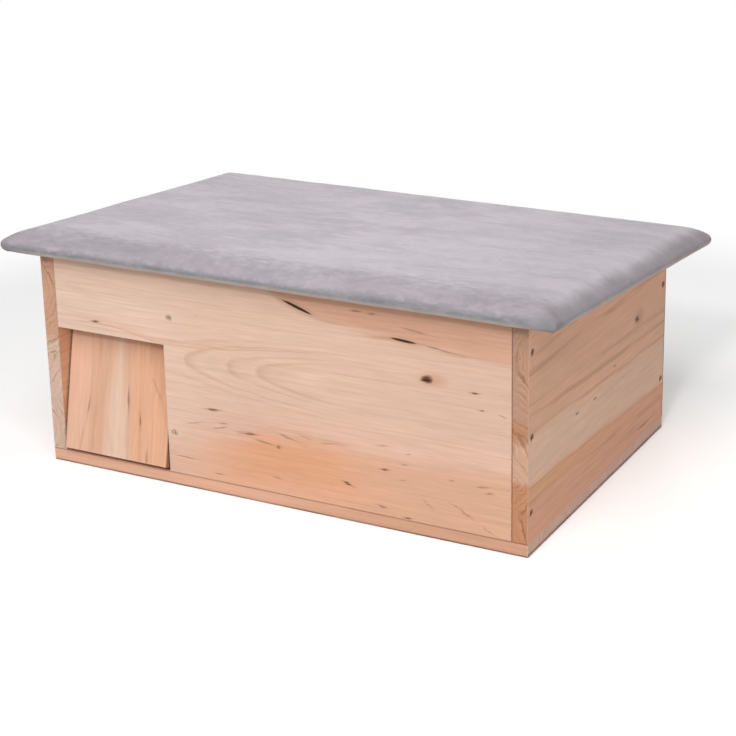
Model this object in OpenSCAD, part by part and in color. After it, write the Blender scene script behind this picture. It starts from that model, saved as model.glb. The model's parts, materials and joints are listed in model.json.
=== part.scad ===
// Hedgehog house: a box of glued-up softwood boards on a floor board, with a swinging flap in its
// entrance, a tunnel behind the flap and a hinged roof wrapped in roofing felt.
// Lengths are in millimetres and angles in degrees. The origin is the middle of the floor's
// underside, +Z is up, and the front faces -Y.

/* [Box] */
// Outer width of the box
box_w = 500; // [440:5:600]
// Outer depth of the box
box_d = 330; // [310:5:400]
// Thickness of the floor board
floor_t = 12; // [10:1:18]
// Thickness of the walls and of the partition
wall_t = 15; // [12:1:18]
// Height of the side panels at the front, above the floor
front_h = 200; // [190:1:225]
// Height of the side panels at the back, above the floor
back_h = 174; // [168:1:182]

/* [Entrance] */
// Width of the entrance and of the inner doorway
door_w = 120; // [105:1:135]
// Height of the entrance and of the inner doorway
door_h = 126; // [110:1:136]
// Thickness of the flap
flap_t = 10; // [8:0.5:12]
// Angle by which the flap's foot stands out at rest
flap_tilt = 12; // [0:0.5:20]
// Length of the flap above its pivot
flap_top = 8; // [6:0.5:9]
// Gap at each side of the flap
flap_side_gap = 1.5; // [1:0.25:3]
// Smallest gap under the flap as it swings
flap_foot_gap = 1; // [0.5:0.25:3]
// Distance of the flap's pivot behind the front panel
pivot_back = 11.5; // [11:0.5:14]
// Radius of the nails that the flap swings on
flap_pin_r = 2; // [1.5:0.25:2.5]
// Length of each nail inside the flap
flap_pin_grip = 18; // [12:1:25]

/* [Roof] */
// Thickness of the roof board
roof_t = 18; // [16:0.5:20]
// Thickness of the felt
felt_t = 1.5; // [1:0.25:2]
// Overhang of the roof at each side
side_overhang = 32; // [24:1:45]
// Overhang of the roof at the front, along its slope
front_overhang = 20.5; // [19:0.5:40]
// Overhang of the roof at the back, along its slope
back_overhang = 40.5; // [39:0.5:46]
// Width of the border in which the roof board's top curves down
crown_w = 28; // [22:1:36]
// Radius of the roof board's nose, below that curve
nose_r = 4.7; // [4:0.1:5.5]
// Width of the felt's border under the roof
felt_turn = 16; // [14:0.5:17]

/* [Hinges] */
// Distance of each hinge's middle from the side of the box
hinge_inset = 85; // [60:5:110]
// Length of a hinge
hinge_l = 40; // [30:1:50]
// Width of a hinge leaf, from the pin's axis
leaf_w = 17; // [14:0.5:18]
// Thickness of a hinge leaf
leaf_t = 1.2; // [0.8:0.1:1.4]
// Outer radius of a hinge knuckle
knuckle_r = 2.8; // [2.6:0.1:3]
// Radius of a hinge pin
hinge_pin_r = 1.4; // [1:0.1:1.5]

/* [Fasteners] */
// Length of a board screw
board_screw_l = 40; // [30:1:45]
// Shank radius of a board screw
board_screw_r = 1.75; // [1.5:0.05:2]
// Depth of a board screw's head below the wood
board_screw_sink = 0.8; // [0.3:0.1:1.5]
// Length of a hinge screw
leaf_screw_l = 12; // [8:0.5:12]
// Shank radius of a hinge screw
leaf_screw_r = 1.4; // [1.2:0.05:1.5]
// Width of a staple's crown
staple_w = 10; // [8:0.5:12]
// Thickness of a staple's wire
staple_wire = 1; // [0.7:0.1:1.2]
// Length of a staple's legs
staple_leg = 8; // [6:0.5:10]

/* [Hidden] */
$fn = 64;

// Clearances: under the closed roof, round a fixed fastener, round a turning pin, round a knuckle,
// and between knuckles
seat_gap = 0.2;
fit_gap = 0.05;
run_gap = 0.06;
knuckle_gap = 0.3;
joint_gap = 0.3;
// Extra length that carries a cut past a face
past = 1;

// Colours
pine = [0.90, 0.77, 0.66];
heartwood = [0.88, 0.68, 0.54];
felt_grey = [0.66, 0.65, 0.68];
steel = [0.62, 0.62, 0.63];

// Proportions of every screw and nail, as multiples of its shank radius
head_ratio = 2;
head_depth_ratio = 1.2;
tip_ratio = 3;
recess_ratio = [2.4, 0.5, 0.8];

// Faces of the box and of the tunnel
right_x = box_w / 2;
left_x = -right_x;
back_y = box_d / 2;
front_y = -back_y;
tunnel_left_x = left_x + wall_t;
tunnel_right_x = tunnel_left_x + door_w;
inner_front_y = front_y + wall_t;
inner_back_y = back_y - wall_t;
door_top_z = floor_t + door_h;

// Slope of the wall tops, and their height at a given depth
roof_fall = (front_h - back_h) / box_d;
roof_slope = atan(roof_fall);
function eaves_z(y) = floor_t + front_h - roof_fall * (y - front_y);

// Roof, seen square to its slope
roof_w = box_w + 2 * side_overhang;
roof_d = front_overhang + box_d / cos(roof_slope) + back_overhang;

// Arc of the roof's crown: its radius, the height of its middle, and the angle at which it runs into
// the nose
crown_r = (pow(crown_w - nose_r, 2) + roof_t * (roof_t - 2 * nose_r)) / (2 * (roof_t - 2 * nose_r));
crown_z = roof_t - crown_r;
crown_turn = atan2(nose_r - crown_z, crown_w - nose_r);

// Flap and its pivot
flap_w = door_w - 2 * flap_side_gap;
flap_x = (tunnel_left_x + tunnel_right_x) / 2;
pivot_y = inner_front_y + pivot_back;
pivot_z = door_top_z;
flap_reach = pivot_z - floor_t - flap_foot_gap;
flap_drop = sqrt(pow(flap_reach, 2) - pow(flap_t / 2, 2));
flap_pin_l = wall_t + flap_side_gap + flap_pin_grip;
flap_pin_head_r = head_ratio * flap_pin_r;
flap_pin_head_t = 1.2;

// Hinges: the pin's axis clears the wall and the roof by the knuckle and its gap
pin_offset = knuckle_r + knuckle_gap;
hinge_x = right_x - hinge_inset;
hinge_pin_y = back_y + pin_offset;
hinge_pin_z = eaves_z(hinge_pin_y) - (pin_offset - seat_gap) / cos(roof_slope);
knuckle_l = hinge_l / 3;

// Screws as [length, shank radius, depth of the head below the surface]
board_screw = [board_screw_l, board_screw_r, board_screw_sink];
leaf_screw = [leaf_screw_l, leaf_screw_r, 0];

// Turns that point a screw from its head: towards -X, +X, +Y, -Y and +Z
to_left = [0, 90, 0];
to_right = [0, -90, 0];
to_back = [90, 0, 0];
to_front = [-90, 0, 0];
upward = [180, 0, 0];

// Heights of the side screws, as shares of the panel that they hold
front_col = [for (share = [0.135, 0.48, 0.86]) floor_t + share * front_h];
back_col = [for (share = [0.24, 0.8]) floor_t + share * back_h];
above_door = [0.3, 0.72];
lintel_col = [for (share = above_door) door_top_z + share * (front_h - door_h)];
bridge_col = [for (share = above_door) door_top_z + share * (back_h - door_h)];
partition_col = [for (share = [0.2, 0.765]) floor_t + share * front_h];

// Middles of the boards that the screws enter end on
front_mid_y = front_y + wall_t / 2;
back_mid_y = back_y - wall_t / 2;
side_mid_x = right_x - wall_t / 2;
partition_mid_x = tunnel_right_x + wall_t / 2;

// Heads of the board screws
right_heads = concat(
    [for (z = front_col) [right_x, front_mid_y, z]],
    [for (z = back_col) [right_x, back_mid_y, z]]
);
left_heads = concat(
    [for (z = lintel_col) [left_x, front_mid_y, z]],
    [for (z = back_col) [left_x, back_mid_y, z]]
);
front_heads = [for (z = partition_col) [partition_mid_x, front_y, z]];
back_heads = [for (z = bridge_col) [partition_mid_x, back_y, z]];

// Heads of the floor screws: along both sides, the back, the front and the partition's foot
floor_spread = [-0.35, 0, 0.35];
front_foot_l = right_x - wall_t - tunnel_right_x;
partition_foot_l = inner_back_y - door_w - inner_front_y;
floor_heads = concat(
    [for (side = [-1, 1], share = floor_spread) [side * side_mid_x, share * box_d, 0]],
    [for (share = floor_spread) [share * box_w, back_mid_y, 0]],
    [for (share = [0.15, 0.75]) [tunnel_right_x + share * front_foot_l, front_mid_y, 0]],
    [for (share = [0.4, 0.85]) [partition_mid_x, inner_front_y + share * partition_foot_l, 0]]
);

// Heads of the screws in one hinge leaf, in the leaf's own frame
leaf_screw_y = 0.62 * leaf_w;
leaf_heads = [for (side = [-1, 1]) [side * hinge_l / 4, leaf_screw_y, pin_offset - leaf_t]];

// Staples as [x, y, turn], on the middle of the felt's level border
long_staples = [-0.42, -0.21, 0, 0.21, 0.42];
short_staples = [-0.39, -0.13, 0.13, 0.39];
staple_inset = (nose_r + felt_t + felt_turn) / 2;
staple_places = concat(
    [for (side = [-1, 1], share = long_staples)
        [share * roof_w, side * (roof_d / 2 - staple_inset), 0]],
    [for (side = [-1, 1], share = short_staples)
        [side * (roof_w / 2 - staple_inset), share * roof_d, 90]]
);

// Wall between two depths, from the floor up to the sloping eaves
module wall(x_from, x_to, y_from, y_to) {
    translate([x_from, 0, 0])
        rotate([90, 0, 90])
            linear_extrude(x_to - x_from)
                polygon([
                    [y_from, floor_t],
                    [y_to, floor_t],
                    [y_to, eaves_z(y_to)],
                    [y_from, eaves_z(y_from)]
                ]);
}

// Countersunk screw with a cross recess: the surface is at z = 0 and the tip points down
module screw(kind) {
    length = kind[0];
    shank_r = kind[1];
    head_h = head_depth_ratio * shank_r;
    recess = recess_ratio * shank_r;
    translate([0, 0, -kind[2]])
        difference() {
            rotate_extrude()
                polygon([
                    [0, 0],
                    [head_ratio * shank_r, 0],
                    [shank_r, -head_h],
                    [shank_r, tip_ratio * shank_r - length],
                    [0, -length]
                ]);
            for (turn = [0, 90])
                rotate(turn)
                    translate([-recess.x / 2, -recess.y / 2, -recess.z])
                        cube([recess.x, recess.y, recess.z + past]);
        }
}

// Hole for a screw: a clear countersink, and a bore a little longer than the shank
module screw_hole(kind) {
    bore_r = kind[1] + fit_gap;
    mouth_r = head_ratio * kind[1] + fit_gap;
    head_h = head_depth_ratio * kind[1];
    translate([0, 0, -kind[2]])
        rotate_extrude()
            polygon([
                [0, past + kind[2]],
                [mouth_r, past + kind[2]],
                [mouth_r, 0],
                [bore_r, -head_h],
                [bore_r, -kind[0] - fit_gap],
                [0, -kind[0] - fit_gap]
            ]);
}

// Places its children at each head, turned to point into the wood
module drive(heads, turn) {
    for (head = heads)
        translate(head)
            rotate(turn)
                children();
}

// Every hole for a board screw
module board_screw_holes() {
    drive(right_heads, to_left) screw_hole(board_screw);
    drive(left_heads, to_right) screw_hole(board_screw);
    drive(front_heads, to_back) screw_hole(board_screw);
    drive(back_heads, to_front) screw_hole(board_screw);
    drive(floor_heads, upward) screw_hole(board_screw);
}

// Doorway cut to its full height, open at the floor and at one end
module doorway(corner, size) {
    translate([corner.x, corner.y, floor_t - past])
        cube([size.x, size.y, door_h + past]);
}

module floor_board() {
    color(pine)
        difference() {
            translate([left_x, front_y, 0])
                cube([box_w, box_d, floor_t]);
            board_screw_holes();
        }
}

module left_side_panel() {
    color(pine)
        difference() {
            wall(left_x, tunnel_left_x, front_y, back_y);
            board_screw_holes();
            flap_pin_bore(left_x);
        }
}

module right_side_panel() {
    color(pine)
        difference() {
            wall(right_x - wall_t, right_x, front_y, back_y);
            board_screw_holes();
        }
}

module front_panel() {
    color(pine)
        difference() {
            wall(tunnel_left_x, right_x - wall_t, front_y, inner_front_y);
            doorway([tunnel_left_x - past, front_y - past], [door_w + past, wall_t + 2 * past]);
            board_screw_holes();
        }
}

module back_panel() {
    color(pine)
        difference() {
            wall(tunnel_left_x, right_x - wall_t, inner_back_y, back_y);
            board_screw_holes();
            wall_hinges() drive(leaf_heads, upward) screw_hole(leaf_screw);
        }
}

module tunnel_partition() {
    color(pine)
        difference() {
            wall(tunnel_right_x, tunnel_right_x + wall_t, inner_front_y, inner_back_y);
            doorway([tunnel_right_x - past, inner_back_y - door_w], [wall_t + 2 * past, door_w + past]);
            board_screw_holes();
            flap_pin_bore(tunnel_right_x);
        }
}

// Hole through one wall for a flap pin
module flap_pin_bore(x) {
    translate([x - past, pivot_y, pivot_z])
        rotate([0, 90, 0])
            cylinder(r = flap_pin_r + fit_gap, h = wall_t + 2 * past);
}

// Flap, hanging from its pivot and turned out at the foot
module entrance_flap() {
    color(heartwood)
        translate([flap_x, pivot_y, pivot_z])
            rotate([-flap_tilt, 0, 0])
                difference() {
                    translate([-flap_w / 2, -flap_t / 2, -flap_drop])
                        cube([flap_w, flap_t, flap_drop + flap_top]);
                    for (side = [0, 1])
                        mirror([side, 0, 0])
                            translate([flap_w / 2 - flap_pin_grip - past, 0, 0])
                                rotate([0, 90, 0])
                                    cylinder(r = flap_pin_r + run_gap, h = flap_pin_grip + 2 * past);
                }
}

// Nail along +X, with its head outside the wall that starts at x = 0
module flap_pin() {
    rotate([0, 90, 0]) {
        cylinder(r = flap_pin_r, h = flap_pin_l);
        translate([0, 0, -flap_pin_head_t])
            cylinder(r = flap_pin_head_r, h = flap_pin_head_t);
    }
}

module left_flap_pin() {
    color(steel)
        translate([left_x, pivot_y, pivot_z])
            flap_pin();
}

module right_flap_pin() {
    color(steel)
        translate([tunnel_right_x + wall_t, pivot_y, pivot_z])
            mirror([1, 0, 0])
                flap_pin();
}

// Frame of the roof: its underside is z = 0 and its middle is the origin
module on_roof() {
    translate([0, front_y, eaves_z(front_y)])
        rotate([-roof_slope, 0, 0])
            translate([0, roof_d / 2 - front_overhang, seat_gap])
                children();
}

// Half of the board's section, from its middle to its rim, larger all round by the given skin
module half_section(half, skin) {
    crown_x = half - crown_w;
    nose_x = half - nose_r;
    low = -skin;
    high = roof_t + skin;
    far = half + skin + past;
    // A point past the nose, on the line through the middles of both arcs
    beyond = [nose_x, nose_r] + 2 * (nose_r + skin) * [cos(crown_turn), sin(crown_turn)];
    translate([0, low])
        square([crown_x, high - low]);
    intersection() {
        translate([crown_x, crown_z])
            circle(crown_r + skin);
        polygon([
            [crown_x, low], [nose_x, low], [nose_x, nose_r],
            beyond, [beyond.x, high + past], [crown_x, high + past]
        ]);
    }
    intersection() {
        translate([nose_x, nose_r])
            circle(nose_r + skin);
        polygon([[nose_x, nose_r], [nose_x, low - past], [far, low - past], [far, beyond.y], beyond]);
    }
}

// Bar of the board's section along Y, crowned and nosed at both sides
module crowned_bar(width, length, skin) {
    rotate([90, 0, 0])
        linear_extrude(length, center = true)
            for (side = [0, 1])
                mirror([side, 0])
                    half_section(width / 2, skin);
}

// Roof board, larger all round by the given skin: its four crowned edges meet in mitres
module crowned_slab(skin) {
    board_w = roof_w - 2 * felt_t;
    board_d = roof_d - 2 * felt_t;
    intersection() {
        crowned_bar(board_w, roof_d + 2 * past, skin);
        rotate(90)
            crowned_bar(board_d, roof_w + 2 * past, skin);
    }
}

module roof_board() {
    color(pine)
        difference() {
            on_roof()
                difference() {
                    crowned_slab(0);
                    staples() staple_legs(fit_gap);
                }
            roof_hinges() drive(leaf_heads, upward) screw_hole(leaf_screw);
        }
}

// Felt over the top and the edges, with a border turned under
module roof_felt() {
    window = [roof_w - 2 * felt_turn, roof_d - 2 * felt_turn, felt_t + 2 * past];
    color(felt_grey)
        on_roof()
            difference() {
                crowned_slab(felt_t);
                crowned_slab(0);
                translate([-window.x / 2, -window.y / 2, -felt_t - past])
                    cube(window);
                staples() staple_legs(fit_gap);
            }
}

// Places its children at each staple
module staples() {
    for (place = staple_places)
        translate([place[0], place[1], -felt_t])
            rotate(place[2])
                children();
}

// The two legs of a staple, or the slots for them
module staple_legs(gap) {
    side = staple_wire + 2 * gap;
    for (end = [-1, 1])
        translate([end * (staple_w - staple_wire) / 2 - side / 2, -side / 2, -gap])
            cube([side, side, staple_leg + 2 * gap]);
}

module felt_staples() {
    color(steel)
        on_roof()
            staples() {
                staple_legs(0);
                translate([-staple_w / 2, -staple_wire / 2, -staple_wire])
                    cube([staple_w, staple_wire, staple_wire]);
            }
}

// Frame of one hinge on its pin, for what turns with the roof
module roof_hinge(side) {
    translate([side * hinge_x, hinge_pin_y, hinge_pin_z])
        rotate([-roof_slope, 0, 0])
            children();
}

// Frame of one hinge on its pin, for what stays on the wall
module wall_hinge(side) {
    translate([side * hinge_x, hinge_pin_y, hinge_pin_z])
        mirror([0, 1, 1])
            children();
}

module roof_hinges() {
    for (side = [-1, 1])
        roof_hinge(side) children();
}

module wall_hinges() {
    for (side = [-1, 1])
        wall_hinge(side) children();
}

// Round bar along X, one knuckle place away from the middle for each step
module hinge_bar(step, r, length) {
    translate([step * knuckle_l, 0, 0])
        rotate([0, 90, 0])
            cylinder(r = r, h = length, center = true);
}

// Hinge leaf that lies against a face at z = pin_offset and reaches away from the pin along +Y
module hinge_leaf(own_steps, other_steps) {
    difference() {
        union() {
            translate([-hinge_l / 2, 0, pin_offset - leaf_t])
                cube([hinge_l, leaf_w, leaf_t]);
            for (step = own_steps)
                hinge_bar(step, knuckle_r, knuckle_l - joint_gap);
        }
        for (step = other_steps)
            hinge_bar(step, knuckle_r + knuckle_gap, knuckle_l + joint_gap);
        hinge_bar(0, hinge_pin_r + run_gap, hinge_l + 2 * past);
        drive(leaf_heads, upward) screw_hole(leaf_screw);
    }
}

module left_hinge_wall_leaf() {
    color(steel) wall_hinge(-1) hinge_leaf([-1, 1], [0]);
}

module right_hinge_wall_leaf() {
    color(steel) wall_hinge(1) hinge_leaf([-1, 1], [0]);
}

module left_hinge_roof_leaf() {
    color(steel) roof_hinge(-1) hinge_leaf([0], [-1, 1]);
}

module right_hinge_roof_leaf() {
    color(steel) roof_hinge(1) hinge_leaf([0], [-1, 1]);
}

module left_hinge_pin() {
    color(steel) wall_hinge(-1) hinge_bar(0, hinge_pin_r, hinge_l);
}

module right_hinge_pin() {
    color(steel) wall_hinge(1) hinge_bar(0, hinge_pin_r, hinge_l);
}

module wall_leaf_screws() {
    color(steel) wall_hinges() drive(leaf_heads, upward) screw(leaf_screw);
}

module roof_leaf_screws() {
    color(steel) roof_hinges() drive(leaf_heads, upward) screw(leaf_screw);
}

module front_partition_screws() {
    color(steel) drive(front_heads, to_back) screw(board_screw);
}

module back_partition_screws() {
    color(steel) drive(back_heads, to_front) screw(board_screw);
}

module left_panel_screws() {
    color(steel) drive(left_heads, to_right) screw(board_screw);
}

module right_panel_screws() {
    color(steel) drive(right_heads, to_left) screw(board_screw);
}

module floor_screws() {
    color(steel) drive(floor_heads, upward) screw(board_screw);
}

floor_board();
left_side_panel();
right_side_panel();
front_panel();
back_panel();
tunnel_partition();
entrance_flap();
left_flap_pin();
right_flap_pin();
roof_board();
roof_felt();
felt_staples();
left_hinge_wall_leaf();
left_hinge_roof_leaf();
left_hinge_pin();
right_hinge_wall_leaf();
right_hinge_roof_leaf();
right_hinge_pin();
wall_leaf_screws();
roof_leaf_screws();
front_partition_screws();
back_partition_screws();
left_panel_screws();
right_panel_screws();
floor_screws();
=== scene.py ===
"""Hedgehog house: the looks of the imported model, in metres and in the frame of the CAD part.

The boards, screws and hinges are the CAD's own solids with eased edges and procedural materials. The
roof's felt is a modelled sheet that replaces the CAD's plain skin.
"""

import json
import math
from collections import namedtuple

import bmesh
import bpy
from mathutils import Matrix, Vector, noise


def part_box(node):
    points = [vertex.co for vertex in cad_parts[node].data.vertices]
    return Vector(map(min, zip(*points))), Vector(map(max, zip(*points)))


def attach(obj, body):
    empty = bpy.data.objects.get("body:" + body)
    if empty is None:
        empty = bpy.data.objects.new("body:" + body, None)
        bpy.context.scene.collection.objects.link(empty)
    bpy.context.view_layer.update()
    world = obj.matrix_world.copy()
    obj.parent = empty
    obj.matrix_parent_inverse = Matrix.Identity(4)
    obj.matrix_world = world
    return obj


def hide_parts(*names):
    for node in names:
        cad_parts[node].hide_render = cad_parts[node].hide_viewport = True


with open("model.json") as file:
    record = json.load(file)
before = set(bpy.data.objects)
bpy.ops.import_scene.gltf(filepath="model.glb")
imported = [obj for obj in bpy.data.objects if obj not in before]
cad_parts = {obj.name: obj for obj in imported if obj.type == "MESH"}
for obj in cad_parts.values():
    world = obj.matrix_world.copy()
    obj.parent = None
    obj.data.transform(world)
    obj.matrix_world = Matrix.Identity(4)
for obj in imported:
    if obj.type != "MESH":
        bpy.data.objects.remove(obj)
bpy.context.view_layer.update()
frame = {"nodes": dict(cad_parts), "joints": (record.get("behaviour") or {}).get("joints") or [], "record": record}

MM = 0.001
RIGHT_ANGLE = math.radians(90)


def frame_size(node):
    """A node's width, depth and height in the frame, to a tenth of a millimetre."""
    low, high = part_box(node)
    return [round(part / MM, 1) for part in high - low]


def joint_place(name):
    """Where a joint turns, to a tenth of a millimetre."""
    joint = next(joint for joint in frame["joints"] if joint["name"] == name)
    return [round(part / MM, 1) for part in joint["pos_m"]]


# Sizes and places that the frame gives, in millimetres
BOX_W, BOX_D, FLOOR_T = frame_size("floor_board")
WALL_T, _, FRONT_H = frame_size("left_side_panel")
FLAP_W, _, _ = frame_size("entrance_flap")
ROOF_W, _, _ = frame_size("roof_felt")
FLAP_PIVOT = joint_place("flap_swing")

# Other sizes of the part, in millimetres and degrees
BACK_H, DOOR_W = 174, 120
FLAP_T, FLAP_L, FLAP_DROP, FLAP_TILT = 10, 133, 125, 12
ROOF_T, FRONT_OVERHANG, BACK_OVERHANG, SEAT_GAP = 18, 20.5, 40.5, 0.2
CROWN_W, NOSE_R = 28, 4.7
FELT_T, FELT_TURN = 1.5, 16

ROOF_SLOPE = math.atan((FRONT_H - BACK_H) / BOX_D)
ROOF_D = FRONT_OVERHANG + BOX_D / math.cos(ROOF_SLOPE) + BACK_OVERHANG

# Arc of the roof's crown: its radius, the height of its middle and the angle at which it meets the nose
nose_rise = ROOF_T - 2 * NOSE_R
CROWN_R = ((CROWN_W - NOSE_R) ** 2 + ROOF_T * nose_rise) / (2 * nose_rise)
CROWN_Z = ROOF_T - CROWN_R
CROWN_TURN = math.atan2(NOSE_R - CROWN_Z, CROWN_W - NOSE_R)


def colour(red, green, blue):
    """A colour given as 0 to 255 display values, as a linear colour."""

    def linear(value):
        share = value / 255
        return share / 12.92 if share <= 0.04045 else ((share + 0.055) / 1.055) ** 2.4

    return (linear(red), linear(green), linear(blue), 1)


# Node graphs


class Wire:
    """A node's output that plain arithmetic can combine."""

    def __init__(self, graph, socket):
        self.graph = graph
        self.socket = socket

    def __add__(self, other):
        return self.graph.math("ADD", self, other)

    def __radd__(self, other):
        return self.graph.math("ADD", other, self)

    def __sub__(self, other):
        return self.graph.math("SUBTRACT", self, other)

    def __rsub__(self, other):
        return self.graph.math("SUBTRACT", other, self)

    def __mul__(self, other):
        return self.graph.math("MULTIPLY", self, other)

    def __truediv__(self, other):
        return self.graph.math("DIVIDE", self, other)

    def __pow__(self, other):
        return self.graph.math("POWER", self, other)

    def __abs__(self):
        return self.graph.math("ABSOLUTE", self)


class Graph:
    """Short calls that build a node tree. Each takes wires or plain values and returns a wire."""

    def __init__(self, tree):
        self.nodes = tree.nodes
        self.links = tree.links
        self.nodes.clear()

    def put(self, socket, value):
        if isinstance(value, Wire):
            self.links.new(value.socket, socket)
        else:
            socket.default_value = value

    def node(self, kind, inputs, output=0, **settings):
        made = self.nodes.new(kind)
        for name, value in settings.items():
            setattr(made, name, value)
        for key, value in inputs.items():
            self.put(made.inputs[key], value)
        return Wire(self, made.outputs[output])

    def math(self, operation, *values):
        return self.node("ShaderNodeMath", dict(enumerate(values)), operation=operation)

    def highest(self, values):
        top = values[0]
        for value in values[1:]:
            top = self.math("MAXIMUM", top, value)
        return top

    def smooth(self, value, start, end):
        """0 at start and 1 at end, easing in between."""
        ends = {0: value, 1: start, 2: end}
        return self.node("ShaderNodeMapRange", ends, interpolation_type="SMOOTHSTEP")

    def dot(self, first, second):
        return self.node("ShaderNodeVectorMath", {0: first, 1: second}, "Value", operation="DOT_PRODUCT")

    def vector(self, x, y, z):
        return self.node("ShaderNodeCombineXYZ", {0: x, 1: y, 2: z})

    def noise(self, vector, scale=1, detail=2, roughness=0.5):
        """Cloudy noise about 0, mostly between -0.5 and 0.5."""
        inputs = {"Vector": vector, "Scale": scale, "Detail": detail, "Roughness": roughness}
        return self.node("ShaderNodeTexNoise", inputs) - 0.5

    def curve(self, value, points):
        """A smooth curve through a few (input, output) points, level beyond its ends."""
        start, end = points[0][0], points[-1][0]
        outputs = [output for _, output in points]
        low, span = min(outputs), max(outputs) - min(outputs)
        ramp = self.nodes.new("ShaderNodeValToRGB")
        ramp.color_ramp.interpolation = "CARDINAL"
        stops = ramp.color_ramp.elements
        while len(stops) < len(points):
            stops.new(0.5)
        for stop, (place, output) in zip(stops, points):
            grey = (output - low) / span
            stop.position = (place - start) / (end - start)
            stop.color = (grey, grey, grey, 1)
        self.put(ramp.inputs[0], (value - start) / (end - start))
        return Wire(self, ramp.outputs[0]) * span + low

    def mix(self, factor, first, second):
        return self.node("ShaderNodeMix", {0: factor, 6: first, 7: second}, output=2, data_type="RGBA")

    def shade(self, base, factor):
        """A colour made lighter or darker by a wire about 1."""
        first = base if isinstance(base, Wire) else base[:3]
        return self.node("ShaderNodeVectorMath", {0: first, 3: factor}, operation="SCALE")

    def bump(self, height, depth):
        """A normal from a height that runs from 0 to 1 over the given depth in metres."""
        return self.node("ShaderNodeBump", {"Height": height, "Distance": depth, "Strength": 1})

    def surface(self, base, roughness, normal, constants):
        """The main shader and the output, with constants on the shader's own sockets."""
        shader = self.nodes.new("ShaderNodeBsdfPrincipled")
        self.put(shader.inputs["Base Color"], base)
        self.put(shader.inputs["Roughness"], roughness)
        self.put(shader.inputs["Normal"], normal)
        for name, value in constants.items():
            shader.inputs[name].default_value = value
        self.show("ShaderNodeOutputMaterial", Wire(self, shader.outputs[0]))

    def show(self, kind, shader):
        """Ends the tree with an output for a shader."""
        self.links.new(shader.socket, self.nodes.new(kind).inputs["Surface"])


def new_material(name):
    made = bpy.data.materials.new(name)
    made.use_nodes = True
    return made, Graph(made.node_tree)


def new_object(name, data):
    made = bpy.data.objects.new(name, data)
    bpy.context.scene.collection.objects.link(made)
    return made


def object_place(graph):
    """The place on the object, in metres."""
    return Wire(graph, graph.nodes.new("ShaderNodeTexCoord").outputs["Object"])


# Wood

# Colours of the boards' faces, with painted eave shade in the top tan, painted light in the sides' paler tan and
# painted shade on the sides' insides
CREAM = colour(227, 192, 170)
PALE_CREAM = colour(233, 200, 179)
SAND = colour(219, 183, 161)
PINK = colour(227, 187, 165)
HEART = colour(227, 175, 146)
DEEP_HEART = colour(224, 166, 129)
TAN = colour(219, 172, 144)
TOP_TAN_EAVE_SHADE = colour(213, 166, 139)
SIDE_HEART = colour(228, 170, 138)
SIDE_RED = colour(226, 166, 140)
SIDE_OCHRE = colour(226, 170, 126)
SIDE_PALE = colour(236, 195, 168)
SIDE_TAN = colour(228, 179, 147)
SIDE_TAN_PAINTED_LIGHT = colour(241, 188, 156)
SIDE_INNER_SHADE = colour(200, 148, 114)
FLAP_PINK = colour(229, 182, 156)
FLAP_ORANGE = colour(226, 174, 141)
FLAP_PALE = colour(228, 193, 169)
FLOOR_PINK = colour(227, 178, 151)
FLOOR_TAN = colour(208, 160, 132)

# Colours of the boards' ends
END_TAN = colour(184, 144, 119)
END_BROWN = colour(184, 135, 104)
END_PALE = colour(203, 163, 137)
END_ORANGE = colour(190, 136, 101)
END_PINK = colour(214, 182, 162)
END_WARM = colour(204, 158, 130)
FLOOR_END = colour(218, 181, 162)

# Colours of rings, marks, knots, joint dirt and worn corners, and of painted shade in cracks, along the flap's
# edges and at the floor board's foot
RING_BROWN = colour(190, 146, 118)
WARM_BROWN = colour(196, 140, 108)
STREAK_AND_SHADE_BROWN = colour(126, 82, 58)
FLECK_BROWN = colour(100, 62, 43)
BARK_AND_CRACK_SHADE = colour(58, 30, 18)
JOINT_DIRT_AND_CONTACT_SHADE = colour(84, 50, 36)
RUBBED = colour(240, 212, 192)

# A board's own axes: along the grain, across its face and into its thickness
Board = namedtuple("Board", "origin grain across inward seed")
ALONG, ACROSS, INWARD = range(3)
# A mark on a board's face: its middle, its size along and across the grain, its slope and its strength
Mark = namedtuple("Mark", "along across length height slope strength", defaults=(0, 1))
# Growth rings: for each glued strip its upper limit, its pith's place across the face and the extra depth of
# the pith, then the pith's depth along the board, the rings' width and their strength at the board's two ends
Rings = namedtuple("Rings", "strips depth width strength")
# A dark line, which is dirt in a joint with another board and painted contact shadow at the floor board's foot:
# the axis and place it lies at, the axis that its faces look along, its width and its strength
Joint = namedtuple("Joint", "axis place face width strength", defaults=(1.1, 0.8))
# Noise of a board: most of it is drawn out along the grain, and blots and specks show on its ends
Layers = namedtuple("Layers", "slow fine streak fibre pore vein fog scatter blot speck")
# Width of the rings that an end shows, width of the rub along a free corner and depth of the grain
END_RING, RUB_W, GRAIN_DEPTH = 4.5, 1.5, 0.12


def board_place(graph, board):
    """Distances along, across and into a board in millimetres, and how squarely a face looks along each."""
    coordinates = graph.nodes.new("ShaderNodeTexCoord")
    place = Wire(graph, coordinates.outputs["Object"])
    normal = Wire(graph, coordinates.outputs["Normal"])
    origin = tuple(part * MM for part in board.origin)
    local = graph.node("ShaderNodeVectorMath", {0: place, 1: origin}, operation="SUBTRACT")
    places, facings = [], []
    for axis in (board.grain, board.across, board.inward):
        places.append(graph.dot(local, tuple(part / MM for part in axis)))
        facings.append(graph.smooth(abs(graph.dot(normal, axis)), 0.6, 0.9))
    return places, facings


def oval(graph, along, across, mark):
    """1 in the core of a mark and 0 from a little beyond its rim outwards."""
    out = along - mark.along
    off = across - mark.across - out * mark.slope
    reach = ((out / (mark.length / 2)) ** 2 + (off / (mark.height / 2)) ** 2) ** 0.5
    return graph.smooth(reach, 1.3, 0.2)


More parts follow.
